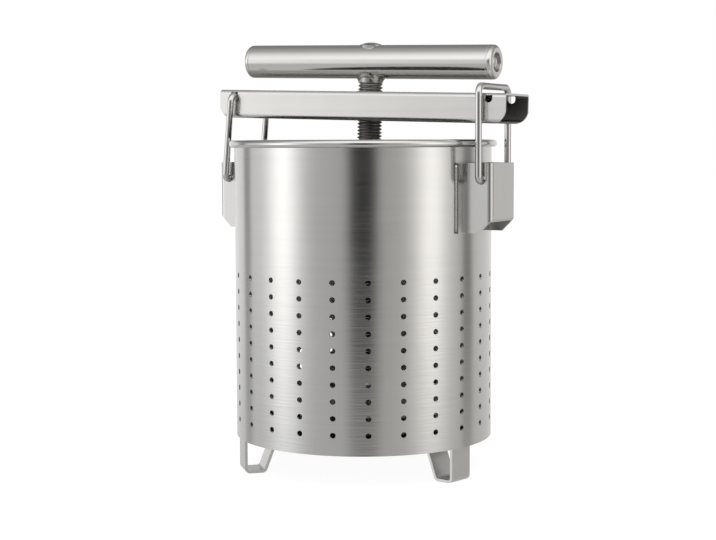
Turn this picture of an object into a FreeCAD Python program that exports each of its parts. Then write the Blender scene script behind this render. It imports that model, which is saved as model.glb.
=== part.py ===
import FreeCAD, Part
import math
import os
import re
import Sketcher
from FreeCAD import Placement, Rotation, Vector

# Manual fruit press: a perforated steel barrel on three strap legs. Two wire bails hold a channel
# crossbar over its mouth, and a screw with a tube handle drives a pressing plate down inside it.
#
# Millimetres. Z is up from the ground. The barrel's axis is Z, the two lugs are at +X and -X, and the
# front is -Y. Crossbar, nut, screw, handle and plate are drawn square to Z and then leaned together about
# Y, because the left bail is threaded through the crossbar while the right bail passes over it.

doc = FreeCAD.newDocument("fruit_press")
sizes = doc.addObject("Spreadsheet::Sheet", "Sizes")

DRIVING = [
    ("barrel_diameter", 188, "outside of the barrel's wall"),
    ("barrel_wall", 1.5, "sheet of the barrel"),
    ("shell_bottom", 24.8, "height of the barrel's lower edge"),
    ("rim_height", 240.7, "height of the top of the curled rim"),
    ("bead_diameter", 5.4, "outside of the curled rim"),
    ("curl_end_angle", 100, "how far the curl goes round below its outermost point"),
    ("drain_diameter", 4, "perforation"),
    ("drain_columns", 24, "perforations round the barrel"),
    ("drain_rows", 10, "perforations up the barrel"),
    ("drain_pitch", 11.65, "from one row to the next"),
    ("lowest_drain", 39, "height of the lowest row"),
    ("drain_turn", 0.4, "degrees from +X to the first column"),
    ("floor_height", 33, "underside of the barrel's floor"),
    ("floor_sheet", 1.5, "sheet of the floor"),
    ("floor_bead_radius", 40, "middle of the floor's stiffening groove"),
    ("floor_bead_width", 14, "width of that groove"),
    ("floor_bead_depth", 2, "depth of that groove"),
    ("weld_gap", 0.1, "left between curved pieces that a weld joins"),
    ("leg_width", 20, "strap of the legs"),
    ("leg_sheet", 2, "thickness of that strap"),
    ("leg_bend", 2, "inside radius of the strap's bends"),
    ("foot_length", 15.5, "flat of the foot, with its bends"),
    ("leg_top_reach", 28.2, "from the outer limb to where the inner limb meets the floor"),
    ("leg_right_angle", -13.4, "place of the front right leg round the barrel"),
    ("leg_spacing", 118.5, "from the rear leg to each of the others"),
    ("lug_width", 42, "outside width of a lug"),
    ("lug_sheet", 2, "sheet of the lugs"),
    ("lug_reach", 17.9, "how far a lug stands out of the barrel"),
    ("lug_top_drop", 16.4, "from the rim down to the lug's top"),
    ("lug_length", 48.6, "a lug's full height"),
    ("lug_cut", 9.6, "slanted cut at the lug's lower corner"),
    ("lug_flange", 9.4, "width of the flanges on the barrel"),
    ("lug_bend", 1.5, "inside radius of the lug's bends"),
    ("wire_diameter", 4.8, "wire of the bails"),
    ("pivot_drop", 12.2, "from the lug's top down to the bail's pivot"),
    ("pivot_inset", 8, "from the lug's outer face in to the pivot"),
    ("pivot_clearance", 0.3, "round the wire in the lug's hole"),
    ("pin_inside", 2.5, "how far a bail's end stands inside the lug"),
    ("leg_side_gap", 2.1, "between a bail's leg and the lug's side"),
    ("bail_top_bend", 5, "centre radius of the bail's upper corners"),
    ("bail_foot_bend", 3.2, "centre radius of the bail's lower corners"),
    ("bail_swing_clearance", 0.15, "between the right bail and the crossbar's end as it swings off"),
    ("bar_overhang", 12.5, "how far half the crossbar reaches past a bail's pivot"),
    ("bar_shift", -0.7, "how far the crossbar's middle stands off the screw"),
    ("bar_width", 42, "crossbar across"),
    ("bar_height", 20.8, "crossbar's depth"),
    ("bar_lip", 5, "width of the lips that turn in at its lower edges"),
    ("bar_sheet", 1.5, "sheet of the crossbar"),
    ("bar_bend", 1.5, "inside radius of its bends"),
    ("bar_corner", 8, "cut lower corners at its ends"),
    ("bar_rise", 14, "from the rim up to the crossbar's underside"),
    ("eye_inset", 12.7, "from the crossbar's end to an eye"),
    ("eye_width", 5.8, "width of an eye"),
    ("eye_clearance", 0.15, "above and below the wire in its eye"),
    ("lean", 1.7, "degrees that the crossbar and screw lean to the right"),
    ("press_offset", -0.7, "how far the plate's middle stands off the barrel's axis"),
    ("screw_diameter", 18, "screw over its thread"),
    ("screw_chamfer", 1, "edge of the screw's shoulder"),
    ("nut_clearance", 0.05, "round the screw in its nut"),
    ("bar_hole_clearance", 0.5, "round the screw in the crossbar"),
    ("nut_flats", 27, "nut across its flats"),
    ("nut_height", 17, "nut"),
    ("handle_diameter", 24.5, "handle tube"),
    ("handle_wall", 2, "wall of the handle tube"),
    ("handle_length", 202.4, "handle with its caps"),
    ("handle_shift", -1.6, "how far the handle's middle stands off the screw"),
    ("handle_gap", 9.5, "from the crossbar up to the handle"),
    ("cap_thickness", 4, "end cap outside the tube"),
    ("cap_round", 3, "rounding of the cap's edge"),
    ("cap_plug", 6, "how far a cap goes into the tube"),
    ("cap_recess_diameter", 14, "round recess in a cap's face"),
    ("cap_recess_depth", 1, "depth of that recess"),
    ("button_diameter", 15, "end of the screw above the handle"),
    ("button_height", 1.8, "how far that end stands above the handle"),
    ("collar_diameter", 23, "weld under the handle"),
    ("collar_height", 3.5, "how far that weld runs down the screw"),
    ("collar_edge", 0.4, "thickness of that weld at its lower end"),
    ("plate_clearance", 8.5, "between the pressing plate and the barrel"),
    ("plate_sheet", 2, "sheet of the plate"),
    ("plate_rim", 14, "height of the plate's upturned rim"),
    ("plate_bend", 3, "inside radius of that rim's bend"),
    ("plate_floor_gap", 0.3, "under the lower edge of the leaning plate"),
    ("hub_diameter", 30, "boss of the plate"),
    ("hub_height", 24, "boss above the plate's sheet"),
    ("hub_chamfer", 1.5, "edge of the boss"),
    ("journal_diameter", 14, "turned end of the screw in the boss"),
    ("journal_clearance", 0.05, "round the journal in the boss"),
    ("shoulder_gap", 0.3, "between the screw's shoulder and the boss"),
    ("pad_thickness", 3, "thrust pad under the journal"),
    ("groove_height", 12, "from the plate's sheet up to the middle of the journal's groove"),
    ("groove_width", 5, "groove that the two bolts run in"),
    ("groove_depth", 2.5, "depth of that groove"),
    ("bolt_diameter", 5, "bolts in the boss"),
    ("bolt_head_diameter", 8.5, "heads of those bolts"),
    ("bolt_head_height", 4, "thickness of those heads"),
    ("bolt_tip_clearance", 0.4, "round a bolt's tip in the groove"),
    ("rib_count", 4, "ribs on the plate"),
    ("rib_sheet", 3, "thickness of a rib"),
    ("rib_inner_height", 18, "rib at the boss"),
    ("rib_outer_height", 7, "rib at the plate's rim"),
]

WORKED = [
    ("barrel_radius", "barrel_diameter / 2"),
    ("barrel_bore", "barrel_radius - barrel_wall"),
    ("bead_radius", "bead_diameter / 2"),
    ("bead_bore", "bead_radius - barrel_wall"),
    ("bead_place", "barrel_bore + bead_radius"),
    ("bead_height", "rim_height - bead_radius"),
    ("floor_top", "floor_height + floor_sheet"),
    ("leg_face", "sqrt((barrel_bore - weld_gap) ^ 2 - (leg_width / 2) ^ 2)"),
    ("foot_inner", "leg_face - foot_length"),
    ("leg_top_inner", "leg_face - leg_top_reach"),
    ("leg_slope", "(foot_inner - leg_top_inner) / floor_height"),
    ("leg_slant_sheet", "leg_sheet * sqrt(1 + leg_slope ^ 2)"),
    ("lug_half", "lug_width / 2"),
    ("lug_face", "barrel_radius + lug_reach"),
    ("lug_seat", "barrel_radius + weld_gap"),
    ("lug_skin", "lug_seat + lug_sheet"),
    ("lug_tip_angle", "asin((lug_half + lug_flange) / lug_skin) / 1deg"),
    ("lug_top", "rim_height - lug_top_drop"),
    ("lug_bottom", "lug_top - lug_length"),
    ("pivot_x", "lug_face - pivot_inset"),
    ("pivot_z", "lug_top - pivot_drop"),
    ("wire_radius", "wire_diameter / 2"),
    ("bail_leg", "lug_half + leg_side_gap + wire_radius"),
    ("bail_pin_end", "lug_half - lug_sheet - pin_inside"),
    ("bar_length", "(pivot_x + bar_overhang) * 2"),
    ("eye_place", "bar_length / 2 - eye_inset"),
    ("bar_bottom", "rim_height + bar_rise"),
    ("bar_top", "bar_bottom + bar_height"),
    ("bar_half", "bar_width / 2"),
    ("eye_top", "bar_top - bar_sheet"),
    ("eye_wire", "eye_top - eye_clearance - wire_radius"),
    ("eye_bottom", "eye_wire - wire_radius - eye_clearance"),
    ("plate_radius", "barrel_bore - plate_clearance"),
    ("plate_bottom", "floor_top + plate_floor_gap + plate_radius * sin(lean)"),
    ("lean_x", "press_offset - plate_bottom * sin(lean)"),
    ("lean_z", "plate_bottom - plate_bottom * cos(lean)"),
    ("left_reach_x", "lean_x + (bar_shift - eye_place) * cos(lean) + eye_wire * sin(lean) + pivot_x"),
    ("left_reach_z", "lean_z + (eye_place - bar_shift) * sin(lean) + eye_wire * cos(lean) - pivot_z"),
    ("left_bail_length", "sqrt(left_reach_x ^ 2 + left_reach_z ^ 2)"),
    ("left_bail_lean", "atan(left_reach_x / left_reach_z) / 1deg"),
    ("bar_right_end", "bar_length / 2 + bar_shift"),
    ("bar_end_x", "lean_x + bar_right_end * cos(lean) + bar_top * sin(lean) - pivot_x"),
    ("bar_end_z", "lean_z - bar_right_end * sin(lean) + bar_top * cos(lean) - pivot_z"),
    ("right_bail_length", "sqrt(bar_end_x ^ 2 + bar_end_z ^ 2) + bail_swing_clearance + wire_radius"),
    ("screw_radius", "screw_diameter / 2"),
    ("nut_corner", "nut_flats / 2 / cos(30)"),
    ("nut_top", "bar_top - bar_sheet"),
    ("nut_bottom", "nut_top - nut_height"),
    ("handle_radius", "handle_diameter / 2"),
    ("handle_bore", "handle_radius - handle_wall"),
    ("handle_height", "bar_top + handle_gap + handle_radius"),
    ("handle_x", "lean_x + handle_height * sin(lean)"),
    ("handle_z", "lean_z + handle_height * cos(lean)"),
    ("tube_half", "handle_length / 2 - cap_thickness"),
    ("button_radius", "button_diameter / 2"),
    ("collar_radius", "collar_diameter / 2"),
    ("plate_top", "plate_bottom + plate_sheet"),
    ("hub_radius", "hub_diameter / 2"),
    ("hub_top", "plate_top + hub_height"),
    ("journal_radius", "journal_diameter / 2"),
    ("hub_bore", "journal_radius + journal_clearance"),
    ("groove_middle", "plate_top + groove_height"),
    ("groove_radius", "journal_radius - groove_depth"),
    ("bolt_radius", "bolt_diameter / 2"),
]

NAMES = {name for name, *_ in DRIVING + WORKED}
WORD = re.compile(r"[a-z][a-z_0-9]*")

for row, (name, size, meaning) in enumerate(DRIVING, 1):
    sizes.set(f"A{row}", meaning)
    sizes.set(f"B{row}", str(size))
    sizes.setAlias(f"B{row}", name)
for row, (name, formula) in enumerate(WORKED, len(DRIVING) + 1):
    sizes.set(f"A{row}", name.replace("_", " "))
    sizes.set(f"B{row}", "=" + formula)
    sizes.setAlias(f"B{row}", name)
doc.recompute()


def bound(formula):
    """The formula as other objects write it, with each size named on its sheet."""
    return WORD.sub(lambda word: "Sizes." + word[0] if word[0] in NAMES else word[0], formula)


def number(formula):
    """The present value of a formula."""
    result = origin_reader.evalExpression(bound(formula))
    return float(getattr(result, "Value", result))


# An object without a shape that works out formulas.
origin_reader = doc.addObject("App::FeaturePython", "reader")


def new_body(name):
    body = doc.addObject("PartDesign::Body", name)
    body.Label = name
    return body


def new_sketch(body, name, role, lift="0"):
    """A sketch on one of the body's own planes, lifted along that plane's normal."""
    plane = next(feature for feature in body.Origin.OriginFeatures if feature.Role == role)
    sketch = body.newObject("Sketcher::SketchObject", name)
    sketch.AttachmentSupport = (plane, [""])
    sketch.MapMode = "FlatFace"
    sketch.setExpression("AttachmentOffset.Base.z", bound(lift))
    return sketch


def place_point(sketch, geometry, point, place):
    """Ties a point of the sketch to two formulas."""
    for kind, formula in zip(("DistanceX", "DistanceY"), place):
        rule = sketch.addConstraint(
            Sketcher.Constraint(kind, -1, 1, geometry, point, number(formula))
        )
        sketch.setExpression(f"Constraints[{rule}]", bound(formula))


def draw_outline(sketch, corners, closed=True):
    """Lines and arcs through corners. A corner is (across, up), and one with a third entry starts an arc
    to the next corner, through the point that the entry gives."""
    first = sketch.GeometryCount
    spots = [Vector(number(corner[0]), number(corner[1]), 0) for corner in corners]
    count = len(corners) if closed else len(corners) - 1
    backwards = set()
    for index in range(count):
        start, end = spots[index], spots[(index + 1) % len(spots)]
        if len(corners[index]) == 3:
            across, up = corners[index][2]
            middle = Vector(number(across), number(up), 0)
            # A sketch's arcs run counter-clockwise, so a clockwise one is drawn from its other end.
            if (middle - start).cross(end - start).z < 0:
                backwards.add(index)
                start, end = end, start
            sketch.addGeometry(Part.Arc(start, middle, end), False)
        else:
            sketch.addGeometry(Part.LineSegment(start, end), False)

    def end_of(index, start):
        """The number of an edge's start or end point, as the outline is followed."""
        return 1 if start != (index in backwards) else 2

    for index in range(count if closed else count - 1):
        following = (index + 1) % count
        joint = (first + index, end_of(index, False), first + following, end_of(following, True))
        sketch.addConstraint(Sketcher.Constraint("Coincident", *joint))
    for index in range(count):
        place_point(sketch, first + index, end_of(index, True), corners[index])
    if not closed:
        place_point(sketch, first + count - 1, end_of(count - 1, False), corners[-1])
    for index in range(count):
        if len(corners[index]) == 3:
            across, up = corners[index][2]
            spot = sketch.addGeometry(Part.Point(Vector(number(across), number(up), 0)), True)
            place_point(sketch, spot, 1, (across, up))
            sketch.addConstraint(Sketcher.Constraint("PointOnObject", spot, 1, first + index))


def draw_circle(sketch, centre, radius):
    spot = Vector(number(centre[0]), number(centre[1]), 0)
    circle = sketch.addGeometry(Part.Circle(spot, Vector(0, 0, 1), number(radius)), False)
    place_point(sketch, circle, 3, centre)
    rule = sketch.addConstraint(Sketcher.Constraint("Radius", circle, number(radius)))
    sketch.setExpression(f"Constraints[{rule}]", bound(radius))


def add_pad(body, name, sketch, length, both_ways=False):
    pad = body.newObject("PartDesign::Pad", name)
    pad.Profile = sketch
    pad.SideType = "Symmetric" if both_ways else "One side"
    pad.setExpression("Length", bound(length))
    doc.recompute()
    return pad


def add_revolution(body, name, sketch, axis="V_Axis"):
    turned = body.newObject("PartDesign::Revolution", name)
    turned.Profile = sketch
    turned.ReferenceAxis = (sketch, [axis])
    turned.Angle = 360
    doc.recompute()
    return turned


def check_cut(body, before, name):
    """A cut that points away from the solid removes nothing and shows no error."""
    if not before - body.Shape.Volume > 1e-3:
        raise RuntimeError(f"{name} cuts nothing")


def add_pocket(body, name, sketch, length=None, both_ways=False, towards_normal=False):
    """A pocket, right through where no length is given."""
    before = body.Shape.Volume
    pocket = body.newObject("PartDesign::Pocket", name)
    pocket.Profile = sketch
    pocket.SideType = "Symmetric" if both_ways else "One side"
    pocket.Reversed = towards_normal
    pocket.Type = "Length" if length else "ThroughAll"
    if length:
        pocket.setExpression("Length", bound(length))
    doc.recompute()
    check_cut(body, before, name)
    return pocket


def add_groove(body, name, sketch):
    before = body.Shape.Volume
    groove = body.newObject("PartDesign::Groove", name)
    groove.Profile = sketch
    groove.ReferenceAxis = (sketch, ["V_Axis"])
    groove.Angle = 360
    doc.recompute()
    check_cut(body, before, name)
    return groove


def edges_near(shape, spots, along):
    """Names of the straight edges that run along an axis and pass through one of the spots. A spot gives
    the two other coordinates, in the order X, Y, Z."""
    others = [axis for axis in range(3) if axis != along]
    found = []
    for index, edge in enumerate(shape.Edges, 1):
        if edge.Curve.TypeId != "Part::GeomLine":
            continue
        ends = [vertex.Point for vertex in edge.Vertexes]
        run = ends[1] - ends[0]
        if abs(run[along]) < run.Length - 1e-6:
            continue
        for spot in spots:
            if all(abs(ends[0][axis] - spot[i]) < 1e-4 for i, axis in enumerate(others)):
                found.append(f"Edge{index}")
    return found


def add_fillet(body, name, radius, spots, along):
    """Rounds the edges along an axis (0, 1 or 2 for X, Y or Z) that pass through the spots."""
    base = body.Tip
    places = [[number(formula) for formula in spot] for spot in spots]
    names = edges_near(base.Shape, places, along)
    if len(names) < len(spots):
        raise RuntimeError(f"{name} finds {len(names)} of {len(spots)} edges")
    fillet = body.newObject("PartDesign::Fillet", name)
    fillet.Base = (base, names)
    fillet.setExpression("Radius", bound(radius))
    doc.recompute()
    return fillet


def turn(body, axis, angle, across="0", up="0"):
    """Turns the body about an axis through the origin and moves it."""
    body.Placement = Placement(Vector(), Rotation(axis, max(1e-3, abs(number(angle)))))
    body.setExpression("Placement.Rotation.Angle", bound(angle))
    body.setExpression("Placement.Base.x", bound(across))
    body.setExpression("Placement.Base.z", bound(up))


def lean_with_screw(body, across="lean_x", up="lean_z"):
    """Leans a body that is drawn square to Z with the rest of the upper assembly."""
    turn(body, Vector(0, 1, 0), "lean", across, up)


def on_circle(radius, angle, across="0", up="0"):
    """Formulas of a point on a circle."""
    return f"{across} + {radius} * cos({angle})", f"{up} + {radius} * sin({angle})"


def barrel_shell():
    """The rolled wall with its outward curl, and the perforations in its lower part."""
    wall = new_body("barrel_wall")
    curl = ("bead_place", "bead_height")
    sketch = new_sketch(wall, "wall_and_curl", "XZ_Plane")
    draw_outline(sketch, [
        ("barrel_bore", "shell_bottom"),
        ("barrel_radius", "shell_bottom"),
        ("barrel_radius", "bead_height", on_circle("bead_bore", "(180 - curl_end_angle) / 2", *curl)),
        on_circle("bead_bore", "-curl_end_angle", *curl),
        on_circle("bead_radius", "-curl_end_angle", *curl)
        + (on_circle("bead_radius", "(180 - curl_end_angle) / 2", *curl),),
        ("barrel_bore", "bead_height"),
    ])
    add_revolution(wall, "rolled_wall", sketch)
    shell = doc.addObject("Part::Cut", "barrel_shell")
    shell.Label = "barrel_shell"
    shell.Base = wall
    shell.Tool = drain_punches()
    doc.recompute()
    if not wall.Shape.Volume - shell.Shape.Volume > 1e-3:
        raise RuntimeError("the drain punches cut nothing")
    return shell


def drain_punches():
    """One punch for each perforation. A punch has eight sides, so that the many small holes stay light."""
    sides = 8
    corner = number("drain_diameter / 2") / math.cos(math.pi / sides)
    near = number("barrel_bore - barrel_wall")
    through = Vector(number("barrel_wall * 3"), 0, 0)
    lowest = number("lowest_drain")
    pitch = number("drain_pitch")
    steps = [math.radians(360 / sides * (side + 0.5)) for side in range(sides)]
    outline = [Vector(near, corner * math.cos(step), corner * math.sin(step)) for step in steps]
    punch = Part.Face(Part.makePolygon(outline + outline[:1])).extrude(through)
    punches = []
    columns = int(number("drain_columns"))
    turned = number("drain_turn")
    for column in range(columns):
        for row in range(int(number("drain_rows"))):
            copy = punch.translated(Vector(0, 0, lowest + row * pitch))
            copy.rotate(Vector(), Vector(0, 0, 1), turned + 360 / columns * column)
            punches.append(copy)
    feature = doc.addObject("Part::Feature", "drain_punches")
    feature.Shape = Part.makeCompound(punches)
    return feature


def barrel_floor():
    """A flat disc with one pressed groove, between the barrel's lower edge and the lowest perforations."""
    body = new_body("barrel_floor")
    sketch = new_sketch(body, "floor_section", "XZ_Plane")
    inner = "floor_bead_radius - floor_bead_width / 2"
    outer = "floor_bead_radius + floor_bead_width / 2"
    # The groove's sides slope at 45 degrees, so its upper corners stand in by about half the sheet.
    step = "floor_sheet / 2"
    draw_outline(sketch, [
        ("0", "floor_height"),
        (inner, "floor_height"),
        (f"{inner} + floor_bead_depth", "floor_height - floor_bead_depth"),
        (f"{outer} - floor_bead_depth", "floor_height - floor_bead_depth"),
        (outer, "floor_height"),
        ("barrel_bore - weld_gap", "floor_height"),
        ("barrel_bore - weld_gap", "floor_top"),
        (f"{outer} - {step}", "floor_top"),
        (f"{outer} - {step} - floor_bead_depth", "floor_top - floor_bead_depth"),
        (f"{inner} + {step} + floor_bead_depth", "floor_top - floor_bead_depth"),
        (f"{inner} + {step}", "floor_top"),
        ("0", "floor_top"),
    ])
    add_revolution(body, "pressed_floor", sketch)
    return body


def leg(name, angle):
    """A strap bent to a foot: its outer limb is welded inside the barrel's wall, its inner limb under
    the floor."""
    body = new_body(name)
    sketch = new_sketch(body, f"{name}_section", "XZ_Plane")
    draw_outline(sketch, [
        ("leg_face", "floor_height"),
        ("leg_face", "0"),
        ("foot_inner", "0"),
        ("leg_top_inner", "floor_height"),
        ("leg_top_inner + leg_slant_sheet", "floor_height"),
        ("foot_inner + leg_slant_sheet - leg_sheet * leg_slope", "leg_sheet"),
        ("leg_face - leg_sheet", "leg_sheet"),
        ("leg_face - leg_sheet", "floor_height"),
    ])
    add_pad(body, f"{name}_strap", sketch, "leg_width", both_ways=True)
    add_fillet(body, f"{name}_outside_bends", "leg_bend + leg_sheet",
               [("leg_face", "0"), ("foot_inner", "0")], along=1)
    add_fillet(body, f"{name}_inside_bends", "leg_bend",
               [("leg_face - leg_sheet", "leg_sheet"),
                ("foot_inner + leg_slant_sheet - leg_sheet * leg_slope", "leg_sheet")], along=1)
    turn(body, Vector(0, 0, 1), angle)
    return body


def lug(name, angle):
    """A hat-section bracket, open above and below, with flanges that follow the barrel and a hole in
    each side for the ends of a bail."""
    body = new_body(name)
    sketch = new_sketch(body, f"{name}_section", "XY_Plane", lift="lug_bottom")
    inner_half = "(lug_half - lug_sheet)"
    skin_angle = "(asin(lug_half / lug_skin) / 1deg)"
    seat_angle = f"(asin({inner_half} / lug_seat) / 1deg)"
    corners = []
    for side in ("1", "-1"):
        flange = [
            (f"sqrt(lug_skin ^ 2 - lug_half ^ 2)", f"{side} * lug_half",
             on_circle("lug_skin", f"({side} * (lug_tip_angle + {skin_angle}) / 2)")),
            on_circle("lug_skin", f"({side} * lug_tip_angle)"),
            on_circle("lug_seat", f"({side} * lug_tip_angle)")
            + (on_circle("lug_seat", f"({side} * (lug_tip_angle + {seat_angle}) / 2)"),),
            (f"sqrt(lug_seat ^ 2 - {inner_half} ^ 2)", f"{side} * {inner_half}"),
        ]
        outer_web = ("lug_face", f"{side} * lug_half")
        inner_web = ("lug_face - lug_sheet", f"{side} * {inner_half}")
        corners.append((outer_web, flange, inner_web))
    (right_outer, right_flange, right_inner), (left_outer, left_flange, left_inner) = corners
    # The left flange is followed the other way round, so its arcs start at their other ends.
    skin_start, skin_end, seat_start, seat_end = left_flange
    left_back = [
        (seat_end[0], seat_end[1], seat_start[2]),
        seat_start[:2],
        skin_end + (skin_start[2],),
        skin_start[:2],
    ]
    draw_outline(sketch, [right_outer, *right_flange, right_inner, left_inner, *left_back, left_outer])
    add_pad(body, f"{name}_hat", sketch, "lug_length")
    add_fillet(body, f"{name}_outside_bends", "lug_bend + lug_sheet",
               [("lug_face", "lug_half"), ("lug_face", "-lug_half")], along=2)
    add_fillet(body, f"{name}_inside_bends", "lug_bend",
               [("lug_face - lug_sheet", inner_half), ("lug_face - lug_sheet", f"-{inner_half}")], along=2)
    cut = new_sketch(body, f"{name}_lower_corner", "XZ_Plane")
    draw_outline(cut, [
        ("lug_face - lug_cut * 2", "lug_bottom - lug_cut"),
        ("lug_face + lug_cut", "lug_bottom - lug_cut"),
        ("lug_face + lug_cut", "lug_bottom + lug_cut * 2"),
    ])
    add_pocket(body, f"{name}_lower_cut", cut, both_ways=True)
    hole = new_sketch(body, f"{name}_pivot", "XZ_Plane")
    draw_circle(hole, ("pivot_x", "pivot_z"), "wire_radius + pivot_clearance")
    add_pocket(body, f"{name}_pivot_holes", hole, both_ways=True)
    turn(body, Vector(0, 0, 1), angle)
    return body


def bail(name, side, length, lean):
    """A wire loop whose ends turn in through the lug's sides. It is drawn standing on its pivot."""
    body = new_body(name)
    path = new_sketch(body, f"{name}_path", "YZ_Plane")
    slant = "sqrt(0.5)"
    top = f"({length} - bail_top_bend)"
    right_half = [
        ("bail_pin_end", "0"),
        ("bail_leg - bail_foot_bend", "0",
         (f"bail_leg - bail_foot_bend * (1 - {slant})", f"bail_foot_bend * (1 - {slant})")),
        ("bail_leg", "bail_foot_bend"),
        ("bail_leg", top,
         (f"bail_leg - bail_top_bend * (1 - {slant})", f"{top} + bail_top_bend * {slant}")),
        ("bail_leg - bail_top_bend", length),
    ]
    left_half = [
        ("-(bail_leg - bail_top_bend)", length,
         (f"-(bail_leg - bail_top_bend * (1 - {slant}))", f"{top} + bail_top_bend * {slant}")),
        ("-bail_leg", top),
        ("-bail_leg", "bail_foot_bend",
         (f"-(bail_leg - bail_foot_bend * (1 - {slant}))", f"bail_foot_bend * (1 - {slant})")),
        ("-(bail_leg - bail_foot_bend)", "0"),
        ("-bail_pin_end", "0"),
    ]
    draw_outline(path, right_half + left_half, closed=False)
    section = new_sketch(body, f"{name}_wire_section", "XZ_Plane", lift="-bail_pin_end")
    draw_circle(section, ("0", "0"), "wire_radius")
    doc.recompute()
    wire = body.newObject("PartDesign::AdditivePipe", f"{name}_wire")
    wire.Profile = section
    wire.Spine = (path, [f"Edge{index + 1}" for index in range(len(path.Shape.Edges))])
    doc.recompute()
    turn(body, Vector(0, 1, 0), lean, f"{side} * pivot_x", "pivot_z")
    return body


def crossbar():
    """A channel with its open side down and its lower edges turned in, with an eye for the bail's wire
    near each end and a hole for the screw."""
    body = new_body("crossbar")
    inner = "(bar_half - bar_sheet)"
    lip = "(bar_half - bar_lip)"
    lip_top = "bar_bottom + bar_sheet"
    web_under = "bar_top - bar_sheet"
    sketch = new_sketch(body, "channel_section", "YZ_Plane", lift="bar_shift")
    draw_outline(sketch, [
        (lip, "bar_bottom"),
        ("bar_half", "bar_bottom"),
        ("bar_half", "bar_top"),
        ("-bar_half", "bar_top"),
        ("-bar_half", "bar_bottom"),
        (f"-{lip}", "bar_bottom"),
        (f"-{lip}", lip_top),
        (f"-{inner}", lip_top),
        (f"-{inner}", web_under),
        (inner, web_under),
        (inner, lip_top),
        (lip, lip_top),
    ])
    add_pad(body, "channel", sketch, "bar_length", both_ways=True)
    outside = [(f"{sign}bar_half", edge) for sign in ("", "-") for edge in ("bar_top", "bar_bottom")]
    inside = [(f"{sign}{inner}", edge) for sign in ("", "-") for edge in (web_under, lip_top)]
    add_fillet(body, "channel_outside_bends", "bar_bend + bar_sheet", outside, along=0)
    add_fillet(body, "channel_inside_bends", "bar_bend", inside, along=0)
    corners = new_sketch(body, "corner_outlines", "XZ_Plane")
    # The cut bulges a little, so that it is flatter than a quarter circle.
    bulge = "bar_corner * 0.36"
    for side in ("1", "-1"):
        end = f"bar_shift + {side} * bar_length / 2"
        draw_outline(corners, [
            (f"{end} - {side} * bar_corner", "bar_bottom",
             (f"{end} - {side} * {bulge}", f"bar_bottom + {bulge}")),
            (end, "bar_bottom + bar_corner"),
            (f"{end} + {side} * bar_sheet", "bar_bottom + bar_corner"),
            (f"{end} + {side} * bar_sheet", "bar_bottom - bar_sheet"),
            (f"{end} - {side} * bar_corner", "bar_bottom - bar_sheet"),
        ])
    add_pocket(body, "cut_corners", corners, both_ways=True)
    eyes = new_sketch(body, "eye_outlines", "XZ_Plane")
    for side in ("1", "-1"):
        middle = f"bar_shift + {side} * eye_place"
        draw_outline(eyes, [
            (f"{middle} - eye_width / 2", "eye_top"),
            (f"{middle} + eye_width / 2", "eye_top"),
            (f"{middle} + eye_width / 2", "eye_bottom + eye_width / 2", (middle, "eye_bottom")),
            (f"{middle} - eye_width / 2", "eye_bottom + eye_width / 2"),
        ])
    add_pocket(body, "eyes", eyes, both_ways=True)
    opening = new_sketch(body, "screw_opening_outline", "XY_Plane")
    draw_circle(opening, ("0", "0"), "screw_radius + bar_hole_clearance")
    add_pocket(body, "screw_opening", opening, towards_normal=True)
    lean_with_screw(body)
    return body


def screw_nut():
    """The hexagon nut welded under the crossbar's web."""
    body = new_body("screw_nut")
    sketch = new_sketch(body, "nut_outline", "XY_Plane", lift="nut_bottom")
    draw_outline(sketch, [on_circle("nut_corner", str(60 * corner)) for corner in range(6)])
    add_pad(body, "nut_blank", sketch, "nut_height")
    bore = new_sketch(body, "nut_bore_outline", "XY_Plane")
    draw_circle(bore, ("0", "0"), "screw_radius + nut_clearance")
    add_pocket(body, "nut_bore", bore, towards_normal=True)
    edge = new_sketch(body, "nut_edge", "XZ_Plane")
    draw_outline(edge, [
        ("nut_flats / 2", "nut_bottom"),
        ("nut_corner + nut_clearance", "nut_bottom"),
        ("nut_corner + nut_clearance", "nut_bottom + (nut_corner + nut_clearance - nut_flats / 2) * tan(30)"),
    ])
    add_groove(body, "nut_bevel", edge)
    lean_with_screw(body)
    return body


def press_plate():
    """A dished disc: flat below, with an upturned rim."""
    body = new_body("press_plate")
    sketch = new_sketch(body, "plate_section", "XZ_Plane")
    outer_bend = "(plate_bend + plate_sheet)"
    centre = (f"plate_radius - {outer_bend}", f"plate_bottom + {outer_bend}")
    draw_outline(sketch, [
        ("0", "plate_bottom"),
        (f"plate_radius - {outer_bend}", "plate_bottom", on_circle(outer_bend, "-45", *centre)),
        ("plate_radius", f"plate_bottom + {outer_bend}"),
        ("plate_radius", "plate_bottom + plate_rim"),
        ("plate_radius - plate_sheet", "plate_bottom + plate_rim"),
        ("plate_radius - plate_sheet", f"plate_bottom + {outer_bend}",
         on_circle("plate_bend", "-45", *centre)),
        (f"plate_radius - {outer_bend}", "plate_top"),
        ("0", "plate_top"),
    ])
    add_revolution(body, "dished_plate", sketch)
    lean_with_screw(body)
    return body


def plate_hub():
    """The boss that the screw's turned end runs in, with two cross holes for the bolts that keep it there."""
    body = new_body("plate_hub")
    sketch = new_sketch(body, "hub_section", "XZ_Plane")
    draw_outline(sketch, [
        ("hub_bore", "plate_top"),
        ("hub_radius", "plate_top"),
        ("hub_radius", "hub_top - hub_chamfer"),
        ("hub_radius - hub_chamfer", "hub_top"),
        ("hub_bore", "hub_top"),
    ])
    add_revolution(body, "hub_turning", sketch)
    cross = new_sketch(body, "bolt_hole_outline", "XZ_Plane")
    draw_circle(cross, ("0", "groove_middle"), "bolt_radius + weld_gap")
    add_pocket(body, "bolt_holes", cross, both_ways=True)
    lean_with_screw(body)
    return body


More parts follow.
